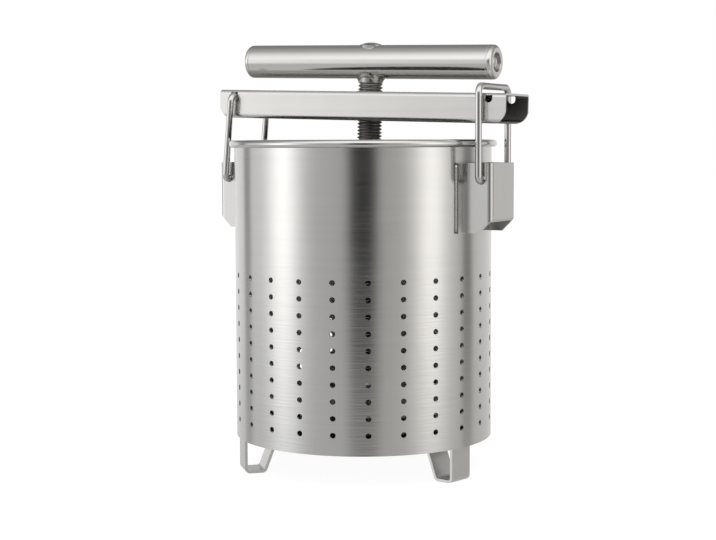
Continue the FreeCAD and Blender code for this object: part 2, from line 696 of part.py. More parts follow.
def thrust_pad():
    """The bronze disc that takes the screw's push at the bottom of the boss."""
    body = new_body("thrust_pad")
    sketch = new_sketch(body, "pad_outline", "XY_Plane", lift="plate_top")
    draw_circle(sketch, ("0", "0"), "journal_radius")
    add_pad(body, "pad_disc", sketch, "pad_thickness")
    lean_with_screw(body)
    return body


def plate_rib(name, angle):
    """A tapered flat bar welded on edge between the boss and the plate's rim."""
    body = new_body(name)
    # The rib ends short of the rim's inside bend.
    tip = "(plate_radius - plate_sheet - plate_bend)"
    section = new_sketch(body, f"{name}_outline", "XZ_Plane")
    draw_outline(section, [
        ("hub_radius + weld_gap", "plate_top"),
        (tip, "plate_top"),
        (tip, "plate_top + rib_outer_height"),
        ("hub_radius + weld_gap", "plate_top + rib_inner_height"),
    ])
    add_pad(body, f"{name}_bar", section, "rib_sheet", both_ways=True)
    # The section is turned about the screw's axis before the rib leans with the screw.
    section.AttachmentOffset = Placement(Vector(), Rotation(Vector(0, 1, 0), angle))
    lean_with_screw(body)
    return body


def hub_bolts():
    """Two bolts through the boss whose tips run in the journal's groove, as separate solids."""
    tip = number("groove_radius + bolt_tip_clearance")
    tip_radius = number("groove_width / 2 - bolt_tip_clearance")
    shank_start = number("hub_bore + bolt_tip_clearance")
    head_start = number("hub_radius + weld_gap")
    shank_radius = number("bolt_radius")
    head_radius = number("bolt_head_diameter / 2")
    head_height = number("bolt_head_height")
    middle = Vector(0, 0, number("groove_middle"))
    bolts = []
    for side in (1, -1):
        along = Vector(0, side, 0)
        nose = Part.makeCylinder(tip_radius, shank_start - tip, middle + along * tip, along)
        shank = Part.makeCylinder(shank_radius, head_start - shank_start, middle + along * shank_start, along)
        head = Part.makeCylinder(head_radius, head_height, middle + along * head_start, along)
        bolts.append(nose.fuse([shank, head]).removeSplitter())
    feature = doc.addObject("Part::Feature", "hub_bolts")
    feature.Label = "hub_bolts"
    feature.Shape = Part.makeCompound([bolt.Solids[0] for bolt in bolts])
    feature.Placement = Placement(Vector(number("lean_x"), 0, number("lean_z")),
                                  Rotation(Vector(0, 1, 0), number("lean")))
    return feature


def screw_spindle():
    """The screw over its thread, with its grooved journal below and its domed end above the handle."""
    body = new_body("screw_spindle")
    sketch = new_sketch(body, "spindle_section", "XZ_Plane")
    journal_end = "plate_top + pad_thickness + nut_clearance"
    shoulder = "hub_top + shoulder_gap"
    # Inside the tube the full screw ends where the tube's bore closes in on it.
    neck = "handle_height + sqrt(handle_bore ^ 2 - screw_radius ^ 2) - shoulder_gap"
    crown = "handle_height + handle_radius + button_height"
    button = "(button_radius - weld_gap)"
    dome = f"(({button} ^ 2 + button_height ^ 2) / (2 * button_height))"
    half_way = f"{crown} - {dome} + sqrt({dome} ^ 2 - {button} ^ 2 / 4)"
    draw_outline(sketch, [
        ("0", journal_end),
        ("journal_radius", journal_end),
        ("journal_radius", "groove_middle - groove_width / 2"),
        ("groove_radius", "groove_middle - groove_width / 2"),
        ("groove_radius", "groove_middle + groove_width / 2"),
        ("journal_radius", "groove_middle + groove_width / 2"),
        ("journal_radius", shoulder),
        ("screw_radius - screw_chamfer", shoulder),
        ("screw_radius", f"{shoulder} + screw_chamfer"),
        ("screw_radius", neck),
        (button, neck),
        (button, f"{crown} - button_height", (f"{button} / 2", half_way)),
        ("0", crown),
    ])
    add_revolution(body, "spindle_turning", sketch)
    lean_with_screw(body)
    return body


def handle_tube():
    """The tube that the screw passes through."""
    body = new_body("handle_tube")
    sketch = new_sketch(body, "tube_section", "YZ_Plane", lift="handle_shift")
    draw_circle(sketch, ("0", "handle_height"), "handle_radius")
    draw_circle(sketch, ("0", "handle_height"), "handle_bore")
    add_pad(body, "tube", sketch, "tube_half * 2", both_ways=True)
    lower = new_sketch(body, "lower_hole_outline", "XY_Plane", lift="handle_height")
    draw_circle(lower, ("0", "0"), "screw_radius + weld_gap")
    add_pocket(body, "lower_hole", lower)
    upper = new_sketch(body, "upper_hole_outline", "XY_Plane", lift="handle_height")
    draw_circle(upper, ("0", "0"), "button_radius")
    add_pocket(body, "upper_hole", upper, towards_normal=True)
    lean_with_screw(body)
    return body


def handle_cap(name, side):
    """A rounded cap with a shallow round recess, plugged into the tube's end."""
    body = new_body(name)
    plug = "(handle_bore - weld_gap)"
    end = f"handle_shift + {side} * tube_half"
    face = f"{end} + {side} * cap_thickness"
    sketch = new_sketch(body, f"{name}_section", "XZ_Plane")
    draw_outline(sketch, [
        (f"{end} - {side} * cap_plug", "0"),
        (f"{end} - {side} * cap_plug", plug),
        (end, plug),
        (end, "handle_radius"),
        (f"{face} - {side} * cap_round", "handle_radius",
         (f"{face} - {side} * cap_round * (1 - sqrt(0.5))", "handle_radius - cap_round * (1 - sqrt(0.5))")),
        (face, "handle_radius - cap_round"),
        (face, "cap_recess_diameter / 2"),
        (f"{face} - {side} * cap_recess_depth", "cap_recess_diameter / 2"),
        (f"{face} - {side} * cap_recess_depth", "0"),
    ])
    add_revolution(body, f"{name}_turning", sketch, axis="H_Axis")
    lean_with_screw(body, "handle_x", "handle_z")
    return body


def handle_weld():
    """The weld that joins the screw to the underside of the handle tube."""
    body = new_body("handle_weld")
    under = "(handle_height - handle_radius)"
    # How far the weld's face is drawn in towards the corner that it fills.
    hollow = "0.35"
    sketch = new_sketch(body, "weld_section", "XZ_Plane")
    draw_outline(sketch, [
        ("screw_radius + nut_clearance", f"{under} - collar_height"),
        ("screw_radius + collar_edge", f"{under} - collar_height",
         (f"screw_radius + (collar_radius - screw_radius) * {hollow}",
          f"{under} - collar_height * {hollow}")),
        ("collar_radius", under),
        ("collar_radius", f"{under} + handle_radius / 2"),
        ("screw_radius + nut_clearance", f"{under} + handle_radius / 2"),
    ])
    add_revolution(body, "weld_ring", sketch)
    tube = new_sketch(body, "tube_outline", "YZ_Plane")
    draw_circle(tube, ("0", "handle_height"), "handle_radius + nut_clearance")
    add_pocket(body, "saddle", tube, both_ways=True)
    lean_with_screw(body)
    return body


def build():
    pieces = [barrel_shell(), barrel_floor()]
    for index, name in enumerate(("leg_front_right", "leg_rear", "leg_front_left")):
        pieces.append(leg(name, f"leg_right_angle + {index} * leg_spacing"))
    pieces += [lug("lug_right", "0"), lug("lug_left", "180")]
    pieces.append(bail("bail_right", "1", "right_bail_length", "0"))
    pieces.append(bail("bail_left", "-1", "left_bail_length", "left_bail_lean"))
    pieces += [crossbar(), screw_nut(), press_plate(), plate_hub(), thrust_pad(), hub_bolts()]
    ribs = int(number("rib_count"))
    for index in range(ribs):
        pieces.append(plate_rib(f"plate_rib_{index + 1}", 360 / ribs * (index + 0.5)))
    pieces += [screw_spindle(), handle_tube(), handle_weld()]
    pieces += [handle_cap("handle_cap_right", "1"), handle_cap("handle_cap_left", "-1")]
    return pieces


def check(pieces):
    """Stops at a failed object, or at a sub-part with no sound solid."""
    doc.recompute()
    for item in doc.Objects:
        if "Invalid" in item.State or "Error" in item.State:
            raise RuntimeError(f"{item.Name} failed: {item.State}")
    for piece in pieces:
        shape = piece.Shape
        if shape.isNull() or not shape.isValid() or not shape.Solids:
            raise RuntimeError(f"{piece.Label} has no sound shape")


pieces = build()
check(pieces)
os.makedirs("parts", exist_ok=True)
for piece in pieces:
    piece.Shape.exportStep(f"parts/{piece.Label}.step")
    solids = len(piece.Shape.Solids)
    print(f"{piece.Label}: {solids} solid{'s' * (solids > 1)}, {piece.Shape.Volume / 1000:.2f} cm3")
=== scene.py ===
import math

import bpy
from mathutils import Matrix, Vector


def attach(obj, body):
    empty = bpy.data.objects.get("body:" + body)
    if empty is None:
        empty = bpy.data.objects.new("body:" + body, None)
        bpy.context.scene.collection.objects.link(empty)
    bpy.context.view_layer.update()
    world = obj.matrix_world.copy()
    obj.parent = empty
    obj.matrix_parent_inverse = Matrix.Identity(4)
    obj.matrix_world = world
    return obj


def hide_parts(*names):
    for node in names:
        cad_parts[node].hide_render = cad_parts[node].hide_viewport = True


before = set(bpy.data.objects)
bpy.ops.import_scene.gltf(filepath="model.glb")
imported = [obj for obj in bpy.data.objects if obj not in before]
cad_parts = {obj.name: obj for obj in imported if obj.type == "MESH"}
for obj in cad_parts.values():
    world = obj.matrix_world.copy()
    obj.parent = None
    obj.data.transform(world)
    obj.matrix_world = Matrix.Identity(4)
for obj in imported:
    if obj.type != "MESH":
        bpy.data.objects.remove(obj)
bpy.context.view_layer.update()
bpy.ops.object.select_all(action="DESELECT")

# Sizes of the press, in metres.
BARREL_R = 0.094
SHEET = 0.0015
SHELL_BOTTOM = 0.0248
RIM_TOP = 0.2407
BEAD_R = 0.0027
DRAIN_R = 0.002
DRAIN_COLUMNS = 24
DRAIN_ROWS = 10
DRAIN_PITCH = 0.01165
LOWEST_DRAIN = 0.039
DRAIN_TURN = math.radians(0.4)
THREAD_R = 0.009
THREAD_PITCH = 0.0025
HANDLE_R = 0.01225
NUT_FLATS = 0.027
LUG_HALF = 0.021
LUG_SHEET = 0.002
LUG_FLANGE = 0.0094
LUG_TOP_DROP = 0.0164
LUG_LENGTH = 0.0486

# The leaning assembly: the plate's lower middle is the point that it leans about.
LEAN = math.radians(1.7)
PLATE_R = 0.084
PRESS_OFFSET = -0.0007
PLATE_BOTTOM = 0.0345 + 0.0003 + PLATE_R * math.sin(LEAN)
LEAN_MOVE = (
    Matrix.Translation((PRESS_OFFSET, 0, PLATE_BOTTOM))
    @ Matrix.Rotation(LEAN, 4, "Y")
    @ Matrix.Translation((0, 0, -PLATE_BOTTOM))
)
BAR_TOP = 0.2755
BAR_HALF = 0.021
BAR_HEIGHT = 0.0208
HANDLE_Z = BAR_TOP + 0.0095 + HANDLE_R
HANDLE_SHIFT = -0.0016


class Signal:
    """A node's output. Sums with it add the nodes that work them out."""

    def __init__(self, shop, socket):
        self.shop = shop
        self.socket = socket

    def __add__(self, other):
        return self.shop.maths("ADD", self, other)

    __radd__ = __add__

    def __sub__(self, other):
        return self.shop.maths("SUBTRACT", self, other)

    def __rsub__(self, other):
        return self.shop.maths("SUBTRACT", other, self)

    def __mul__(self, other):
        return self.shop.maths("MULTIPLY", self, other)

    __rmul__ = __mul__

    def __truediv__(self, other):
        return self.shop.maths("DIVIDE", self, other)


class Shop:
    """Adds the nodes of one material or of the world."""

    def __init__(self, tree):
        self.tree = tree

    def add(self, kind, values=None, output=0, stops=None, **settings):
        node = self.tree.nodes.new(kind)
        for name, value in settings.items():
            setattr(node, name, value)
        if stops:
            ramp = node.color_ramp
            while len(ramp.elements) < len(stops):
                ramp.elements.new(1)
            for element, (place, level) in zip(ramp.elements, stops):
                element.position = place
                element.color = (level, level, level, 1) if isinstance(level, (int, float)) else (*level, 1)
        for key, value in (values or {}).items():
            if isinstance(value, Signal):
                self.tree.links.new(value.socket, node.inputs[key])
            else:
                node.inputs[key].default_value = value
        return Signal(self, node.outputs[output]) if node.outputs else None

    def maths(self, operation, *values):
        return self.add("ShaderNodeMath", dict(enumerate(values)), operation=operation)

    def stretched(self, scale, place=None):
        """Object coordinates, each multiplied by its own scale."""
        place = place or self.add("ShaderNodeTexCoord", output="Object")
        return self.add("ShaderNodeVectorMath", {0: place, 1: scale}, operation="MULTIPLY")

    def noise(self, scale, detail=2.0, roughness=0.5):
        values = {"Vector": self.stretched(scale), "Scale": 1.0, "Detail": detail, "Roughness": roughness}
        return self.add("ShaderNodeTexNoise", values)

    def blend(self, factor, first, second):
        """A colour between two colours."""
        values = {"Factor": factor, 6: first, 7: second}
        return self.add("ShaderNodeMix", values, output=2, data_type="RGBA")


def new_material(name):
    material = bpy.data.materials.new(name)
    material.use_nodes = True
    material.node_tree.nodes.clear()
    return material, Shop(material.node_tree)


def steel(name, tone, roughness, grain, dull=0.1, relief=0.05, spread=0.12, waves=0.0):
    """Bare metal with a drawn or brushed grain. The grain gives how fast the pattern changes along X, Y and Z, per
    metre, dull how much rougher its dull patches are, relief how deep its lines are, and waves how uneven the
    sheet is."""
    material, shop = new_material(name)
    lines = shop.noise(grain, detail=3.0, roughness=0.65)
    streaks = shop.noise(tuple(rate * 0.3 for rate in grain), detail=1.0)
    patches = shop.noise((14, 14, 14), detail=3.0)
    deep = tuple(channel * (1 - spread) for channel in tone)
    colour = shop.blend(lines * 0.4 + streaks * 0.4 + patches * 0.2, (*deep, 1), (*tone, 1))
    height = lines * (relief * 0.4)
    if waves:
        height = height + shop.noise((22, 22, 9), detail=2.0) * waves
    bump = shop.add("ShaderNodeBump", {"Strength": 1.0, "Distance": 0.001, "Height": height})
    surface = shop.add("ShaderNodeBsdfPrincipled", {
        "Base Color": colour,
        "Metallic": 1.0,
        "Roughness": patches * dull + lines * dull + (roughness - dull),
        "Normal": bump,
    })
    shop.add("ShaderNodeOutputMaterial", {"Surface": surface})
    return material


BARREL_STEEL = steel("circular_brushed_steel", (0.66, 0.655, 0.64), 0.17, (30, 30, 800), dull=0.06, relief=0.09,
                     spread=0.12, waves=0.35)
BAR_STEEL = steel("long_brushed_steel", (0.73, 0.72, 0.70), 0.25, (9, 900, 900), dull=0.06, relief=0.08,
                  spread=0.18, waves=0.25)
# The inside's dark tone is painted shade; its higher roughness is the unpolished sheet.
INNER_STEEL_PAINTED_SHADE = steel("unpolished_sheet_painted_shade", (0.26, 0.255, 0.25), 0.42, (60, 500, 500), relief=0.06)
# The lips' darker tone is painted shade on their undersides; their roughness is the rolled lip's finish.
LIP_STEEL_PAINTED_SHADE = steel("rolled_lip_painted_shade", (0.46, 0.455, 0.445), 0.34, (60, 500, 500), relief=0.06)
LUG_STEEL = steel("satin_sheet", (0.61, 0.605, 0.59), 0.22, (400, 400, 30), dull=0.05, relief=0.04, spread=0.08)
LEG_STEEL = steel("satin_strap", (0.68, 0.675, 0.66), 0.28, (60, 60, 500), relief=0.05)
WIRE_STEEL = steel("bright_wire", (0.66, 0.655, 0.645), 0.12, (400, 400, 90), dull=0.04, relief=0.03)
HANDLE_STEEL = steel("polished_tube", (0.68, 0.67, 0.645), 0.16, (10, 500, 500), dull=0.04, relief=0.03, waves=0.1)
# The thread's own dark steel, also used as painted shade in the handle caps' pressed rings.
SCREW_STEEL_AND_PAINTED_SHADE = steel("cut_thread_and_painted_shade", (0.30, 0.29, 0.275), 0.28, (300, 300, 300), relief=0.08, spread=0.3)
PLATE_STEEL = steel("spun_plate", (0.66, 0.655, 0.645), 0.30, (120, 120, 120), relief=0.06)
WELD_STEEL = steel("ground_weld", (0.47, 0.455, 0.43), 0.17, (420, 420, 420), dull=0.07, relief=0.5, spread=0.45)
NUT_STEEL = steel("machined_steel", (0.52, 0.51, 0.495), 0.26, (200, 200, 900), dull=0.06, relief=0.06)
BOLT_STEEL = steel("bolt_steel", (0.42, 0.41, 0.40), 0.24, (300, 300, 300), dull=0.06, relief=0.05)
PAD_BRONZE = steel("bronze", (0.62, 0.42, 0.20), 0.35, (200, 200, 200), relief=0.05)


def select_only(piece):
    bpy.ops.object.select_all(action="DESELECT")
    piece.select_set(True)
    bpy.context.view_layer.objects.active = piece


def apply_modifier(piece, kind, **settings):
    select_only(piece)
    modifier = piece.modifiers.new(kind.lower(), kind)
    for name, value in settings.items():
        setattr(modifier, name, value)
    bpy.ops.object.modifier_apply(modifier=modifier.name)


def finish_piece(piece, name, material, body, replaced=(), lean=False, smooth=35):
    """Settles a piece in the frame: its place in its mesh, its normals, material and body."""
    piece.name = name
    piece.data.name = name
    if lean:
        piece.matrix_world = LEAN_MOVE @ piece.matrix_world
    select_only(piece)
    bpy.ops.object.transform_apply(location=True, rotation=True, scale=True)
    if smooth:
        bpy.ops.object.shade_smooth_by_angle(angle=math.radians(smooth))
    piece.data.materials.clear()
    piece.data.materials.append(material)
    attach(piece, body)
    if replaced:
        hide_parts(*replaced)
    return piece


def arc(centre, radius, start, end, steps):
    """Points along an arc, as (across, up), with angles in degrees."""
    angles = [math.radians(start + (end - start) * step / steps) for step in range(steps + 1)]
    return [(centre[0] + radius * math.cos(a), centre[1] + radius * math.sin(a)) for a in angles]


def draw_line(points, name="line", plane="XZ"):
    """A line of edges through points, drawn from a single vertex by extruding it in edit mode."""
    def place(point):
        return Vector((point[0], 0, point[1])) if plane == "XZ" else Vector((0, point[0], point[1]))
    bpy.ops.mesh.primitive_plane_add(size=0.001, location=(0, 0, 0))
    piece = bpy.context.object
    piece.name = name
    bpy.ops.object.mode_set(mode="EDIT")
    bpy.ops.mesh.merge(type="CENTER")
    start = place(points[0])
    bpy.ops.transform.translate(value=start)
    last = start
    for point in points[1:]:
        spot = place(point)
        bpy.ops.mesh.extrude_vertices_move(TRANSFORM_OT_translate={"value": spot - last})
        last = spot
    bpy.ops.object.mode_set(mode="OBJECT")
    return piece


def turned(points, steps=96, name="turned"):
    """A solid of revolution about Z from its section's points. A section that starts and ends on the axis, or is a
    closed loop, gives a closed solid."""
    piece = draw_line(points, name)
    apply_modifier(piece, "SCREW", axis="Z", angle=math.tau, steps=steps, render_steps=steps,
                   use_merge_vertices=True, merge_threshold=1e-6, use_smooth_shade=True)
    tidy_normals(piece)
    return piece


def tidy_normals(piece):
    select_only(piece)
    bpy.ops.object.mode_set(mode="EDIT")
    bpy.ops.mesh.select_all(action="SELECT")
    bpy.ops.mesh.remove_doubles(threshold=1e-6)
    bpy.ops.mesh.normals_make_consistent(inside=False)
    bpy.ops.object.mode_set(mode="OBJECT")


def barrel_cell():
    """One cell of the perforated wall, laid flat: a grid with a round hole in its middle."""
    width = math.tau * (BARREL_R - SHEET) / DRAIN_COLUMNS
    across, up = 12, 8
    bpy.ops.mesh.primitive_grid_add(x_subdivisions=across, y_subdivisions=up, size=1)
    cell = bpy.context.object
    cell.scale = (width, DRAIN_PITCH, 1)
    bpy.ops.object.transform_apply(scale=True)
    # The middle four columns and rows are cut out, and the opening that they leave is made round.
    half = (width / across * 2, DRAIN_PITCH / up * 2)
    slack = 1e-5
    bpy.ops.object.mode_set(mode="EDIT")
    bpy.ops.mesh.select_all(action="DESELECT")
    bpy.ops.object.mode_set(mode="OBJECT")
    for face in cell.data.polygons:
        face.select = abs(face.center.x) < half[0] and abs(face.center.y) < half[1]
    bpy.ops.object.mode_set(mode="EDIT")
    bpy.ops.mesh.delete(type="FACE")
    bpy.ops.object.mode_set(mode="OBJECT")
    for vertex in cell.data.vertices:
        x, y, _ = vertex.co
        if abs(x) < half[0] + slack and abs(y) < half[1] + slack:
            turn = math.atan2(y / half[1], x / half[0])
            vertex.co = Vector((math.cos(turn), math.sin(turn), 0)) * DRAIN_R
    return cell


def barrel_shell():
    """The rolled wall with round perforations and its curled rim, as one sheet that is thickened at the end."""
    inner = BARREL_R - SHEET
    piece = barrel_cell()
    width = math.tau * inner / DRAIN_COLUMNS
    apply_modifier(piece, "ARRAY", count=DRAIN_ROWS, use_relative_offset=False, use_constant_offset=True,
                   constant_offset_displace=(0, DRAIN_PITCH, 0), use_merge_vertices=True, merge_threshold=1e-5)
    apply_modifier(piece, "ARRAY", count=DRAIN_COLUMNS, use_relative_offset=False, use_constant_offset=True,
                   constant_offset_displace=(width, 0, 0), use_merge_vertices=True, merge_threshold=1e-5)
    # The flat sheet is rolled round the barrel's axis.
    for vertex in piece.data.vertices:
        x, y, _ = vertex.co
        turn = x / inner + DRAIN_TURN
        vertex.co = (inner * math.cos(turn), inner * math.sin(turn), LOWEST_DRAIN + y)
    select_only(piece)
    bpy.ops.object.mode_set(mode="EDIT")
    bpy.ops.mesh.select_all(action="SELECT")
    bpy.ops.mesh.remove_doubles(threshold=1e-6)
    bpy.ops.object.mode_set(mode="OBJECT")
    low = LOWEST_DRAIN - DRAIN_PITCH / 2
    high = low + DRAIN_PITCH * DRAIN_ROWS
    extend_edge(piece, low, [(inner, low + (SHELL_BOTTOM - low) * part) for part in (0.5, 1)])
    bead = (inner + BEAD_R, RIM_TOP - BEAD_R)
    rises = 16
    straight = [(inner, high + (bead[1] - high) * step / rises) for step in range(1, rises + 1)]
    extend_edge(piece, high, straight + arc(bead, BEAD_R, 180, -100, 20)[1:])
    tidy_normals(piece)
    apply_modifier(piece, "SOLIDIFY", thickness=SHEET, offset=sheet_side(piece), use_even_offset=True)
    finish_piece(piece, "perforated_barrel", BARREL_STEEL, "barrel", ["barrel_shell"])
    round_normals(piece, high, bead[1])
    return piece


def extend_edge(piece, height, route):
    """Extrudes the ring of edges at a height along a route of (radius, height)."""
    select_only(piece)
    bpy.ops.object.mode_set(mode="EDIT")
    bpy.ops.mesh.select_mode(type="EDGE")
    bpy.ops.mesh.select_all(action="DESELECT")
    bpy.ops.object.mode_set(mode="OBJECT")
    vertices = piece.data.vertices
    for edge in piece.data.edges:
        edge.select = all(abs(vertices[i].co.z - height) < 1e-6 for i in edge.vertices)
    bpy.ops.object.mode_set(mode="EDIT")
    radius = BARREL_R - SHEET
    for next_radius, next_height in route:
        bpy.ops.mesh.extrude_edges_move()
        ratio = next_radius / radius
        bpy.ops.transform.resize(value=(ratio, ratio, 1), center_override=(0, 0, 0))
        bpy.ops.transform.translate(value=(0, 0, next_height - height))
        radius, height = next_radius, next_height
    bpy.ops.mesh.select_mode(type="VERT")
    bpy.ops.object.mode_set(mode="OBJECT")


def sheet_side(piece):
    """The side of the sheet on which its thickness goes: away from the barrel's axis."""
    face = piece.data.polygons[0]
    outwards = face.normal.x * face.center.x + face.normal.y * face.center.y
    return 1 if outwards > 0 else -1


def round_normals(piece, low, high):
    """Gives the wall's two faces exact round normals, so that the cells of uneven width don't show in its shine."""
    mesh = piece.data
    corners = []
    for face in mesh.polygons:
        middle = face.center
        outwards = Vector((middle.x, middle.y, 0)).normalized()
        on_wall = abs(face.normal.dot(outwards)) > 0.98 and middle.z < high
        for corner in face.loop_indices:
            if on_wall:
                place = mesh.vertices[mesh.loops[corner].vertex_index].co
                normal = Vector((place.x, place.y, 0)).normalized()
                corners.append(normal if face.normal.dot(outwards) > 0 else -normal)
            else:
                corners.append(mesh.corner_normals[corner].vector.copy())
    mesh.normals_split_custom_set(corners)


def barrel_base():
    """The floor with its pressed groove."""
    bottom, top = 0.033, 0.0345
    edge = BARREL_R - SHEET - 0.0001
    section = [(0, bottom), (0.033, bottom), (0.035, bottom - 0.002), (0.045, bottom - 0.002), (0.047, bottom),
               (edge, bottom), (edge, top), (0.04625, top), (0.04425, top - 0.002), (0.03575, top - 0.002),
               (0.03375, top), (0, top)]
    piece = turned(section, 128, "barrel_base")
    return finish_piece(piece, "barrel_base", PLATE_STEEL, "barrel", ["barrel_floor"], smooth=25)


def threaded_screw():
    """The screw with its cut thread, its journal below and its domed end above the handle."""
    root = THREAD_R - 0.00145
    low, high = 0.0646, HANDLE_Z - HANDLE_R - 0.003
    quarter = THREAD_PITCH / 8
    tooth = [(root, 0), (root, quarter), (THREAD_R - 0.0001, quarter * 3.4), (THREAD_R, quarter * 4),
             (THREAD_R, quarter * 4.6), (THREAD_R - 0.0001, quarter * 5.2), (root, quarter * 8)]
    piece = draw_line(tooth, "thread")
    turns = math.ceil((high - low) / THREAD_PITCH) + 2
    apply_modifier(piece, "SCREW", axis="Z", angle=math.tau, screw_offset=THREAD_PITCH, iterations=turns,
                   steps=32, render_steps=32, use_merge_vertices=True, merge_threshold=1e-6)
    piece.location.z = low - THREAD_PITCH
    select_only(piece)
    bpy.ops.object.transform_apply(location=True)
    tidy_normals(piece)
    bpy.ops.object.mode_set(mode="EDIT")
    for height, upper in ((high, True), (low, False)):
        bpy.ops.mesh.select_all(action="SELECT")
        bpy.ops.mesh.bisect(plane_co=(0, 0, height), plane_no=(0, 0, 1), use_fill=True,
                            clear_outer=upper, clear_inner=not upper)
    bpy.ops.object.mode_set(mode="OBJECT")
    tidy_normals(piece)
    finish_piece(piece, "screw_thread", SCREW_STEEL_AND_PAINTED_SHADE, "screw", lean=True, smooth=40)
    neck = turned([(0, high - 0.001), (root, high - 0.001), (THREAD_R - 0.0002, high + 0.0004),
                   (THREAD_R - 0.0002, HANDLE_Z - HANDLE_R + 0.006), (0, HANDLE_Z - HANDLE_R + 0.006)], 48, "neck")
    finish_piece(neck, "screw_neck", WELD_STEEL, "screw", lean=True)
    button, rise = 0.0083, 0.0018
    crown = HANDLE_Z + HANDLE_R + rise
    dome = (button ** 2 + rise ** 2) / (2 * rise)
    spread = math.degrees(math.asin(button / dome))
    cap = [(0, HANDLE_Z + 0.004), (button - 0.0004, HANDLE_Z + 0.004), (button - 0.0004, HANDLE_Z + HANDLE_R - 0.0006)]
    cap += arc((0, crown - dome), dome, 90 - spread, 90, 8)
    cap = [(max(x, 0), z) for x, z in cap[:-1]] + [(0, crown)]
    end = turned(cap, 48, "screw_end")
    finish_piece(end, "screw_end", LUG_STEEL, "screw", lean=True)
    top = PLATE_BOTTOM + 0.002
    journal = [(0, top + 0.00305), (0.0065, top + 0.00305), (0.007, top + 0.0036), (0.007, top + 0.0095),
               (0.0045, top + 0.0095), (0.0045, top + 0.0145), (0.007, top + 0.0145), (0.007, top + 0.0243),
               (0.008, top + 0.0243), (0.0085, top + 0.026), (0, top + 0.026)]
    lower = turned(journal, 48, "screw_journal")
    finish_piece(lower, "screw_journal", SCREW_STEEL_AND_PAINTED_SHADE, "screw", ["screw_spindle"], lean=True)


def handle():
    """The tube and its two pressed caps."""
    half, cap, round_r = 0.0972, 0.004, 0.003
    bore = HANDLE_R - 0.002
    section = [(bore, -half), (HANDLE_R - 0.0003, -half), (HANDLE_R, -half + 0.0003), (HANDLE_R, half - 0.0003),
               (HANDLE_R - 0.0003, half), (bore, half), (bore, -half)]
    tube = turned(section, 64, "handle_tube")
    lay_along(tube)
    finish_piece(tube, "polished_handle", HANDLE_STEEL, "screw", ["handle_tube"], lean=True)
    # The cap's face has a pressed ring round a slightly domed middle.
    recess = [(0.0070, 0), (0.0067, 0.0003), (0.0058, 0.0026), (0.0052, 0.0030), (0.0046, 0.0028),
              (0.0037, 0.0014), (0.0028, 0.0010), (0.0014, 0.0008), (0, 0.0007)]
    outline = [(0, half - 0.005), (bore - 0.0001, half - 0.005), (bore - 0.0001, half + 0.00005),
               (HANDLE_R - 0.0002, half + 0.00005)]
    outline += arc((HANDLE_R - round_r, half + cap - round_r), round_r, 0, 90, 8)[1:]
    outline += [(radius, half + cap - depth) for radius, depth in recess]
    for side, name in ((1, "right"), (-1, "left")):
        piece = turned(outline, 64, f"handle_cap_{name}")
        lay_along(piece, side)
        finish_piece(piece, f"pressed_cap_{name}", HANDLE_STEEL, "screw", [f"handle_cap_{name}"],
                     lean=True)
        # The pressed ring gets the dark thread steel: painted shade in the ring's hollow.
        piece.data.materials.append(SCREW_STEEL_AND_PAINTED_SHADE)
        for face in piece.data.polygons:
            middle = LEAN_MOVE.inverted() @ face.center
            in_face = half < abs(middle.x - HANDLE_SHIFT) < half + cap - 0.0002
            face.material_index = int(in_face and 0.0042 < math.hypot(middle.y, middle.z - HANDLE_Z) < 0.0069)


def lay_along(piece, side=1):
    """Lays a piece that stands along Z along the handle, and lifts it to the handle's height."""
    piece.matrix_world = (Matrix.Translation((HANDLE_SHIFT, 0, HANDLE_Z)) @ Matrix.Rotation(side * math.pi / 2, 4, "Y"))
    select_only(piece)
    bpy.ops.object.transform_apply(location=True, rotation=True)


def weld_under_handle():
    """The fillet between screw and tube. It follows the line in which the two meet, and is wider along the tube."""
    section = [(-0.0008, -0.0030), (0.0001, -0.0030), (0.0004, -0.0019), (0.0011, -0.0009), (0.0020, -0.0002),
               (0.0030, 0.0003), (0.0026, 0.0012), (-0.0008, 0.0012)]
    piece = turned([(THREAD_R + out, up) for out, up in section + section[:1]], 72, "weld")
    ripples, ripple, narrow = 22, 0.06, 0.35
    for vertex in piece.data.vertices:
        x, y, z = vertex.co
        turn = math.atan2(y, x)
        out = math.hypot(x, y) - THREAD_R
        out = out * (narrow + (1 - narrow) * math.cos(turn) ** 2) * (1 + ripple * math.sin(turn * ripples))
        x, y = (THREAD_R + out) * math.cos(turn), (THREAD_R + out) * math.sin(turn)
        under_tube = HANDLE_Z - math.sqrt(HANDLE_R ** 2 - y ** 2)
        vertex.co = (x, y, under_tube + z)
    finish_piece(piece, "weld_under_handle", WELD_STEEL, "screw", ["handle_weld"], lean=True, smooth=60)


def weld_run(name, start, end, radius=0.0009):
    """An upright run of weld with its ripples and rounded ends."""
    ripple, depth, steps_each = 0.0026, 0.0001, 4
    steps = int((end - start) / ripple * steps_each)
    section = [(0, start)]
    for step in range(steps + 1):
        height = start + (end - start) * step / steps
        inwards = min(height - start, end - height)
        swell = math.sqrt(min(1, inwards / radius * 0.9 + 0.1))
        section.append((radius * swell + depth * math.sin(math.tau * (height - start) / ripple), height))
    return turned(section + [(0, end)], 12, name)


def lug_welds():
    """The welds along the outer edges of the lugs' flanges."""
    tip = math.asin((LUG_HALF + LUG_FLANGE) / (BARREL_R + LUG_SHEET))
    top = RIM_TOP - LUG_TOP_DROP
    for side, start in (("right", 0), ("left", math.pi)):
        for edge, turn in (("a", start - tip), ("b", start + tip)):
            piece = weld_run(f"lug_weld_{side}_{edge}", top - LUG_LENGTH + 0.001, top - 0.001)
            piece.location = (BARREL_R * math.cos(turn), BARREL_R * math.sin(turn), 0)
            finish_piece(piece, piece.name, LUG_STEEL, "barrel", smooth=60)


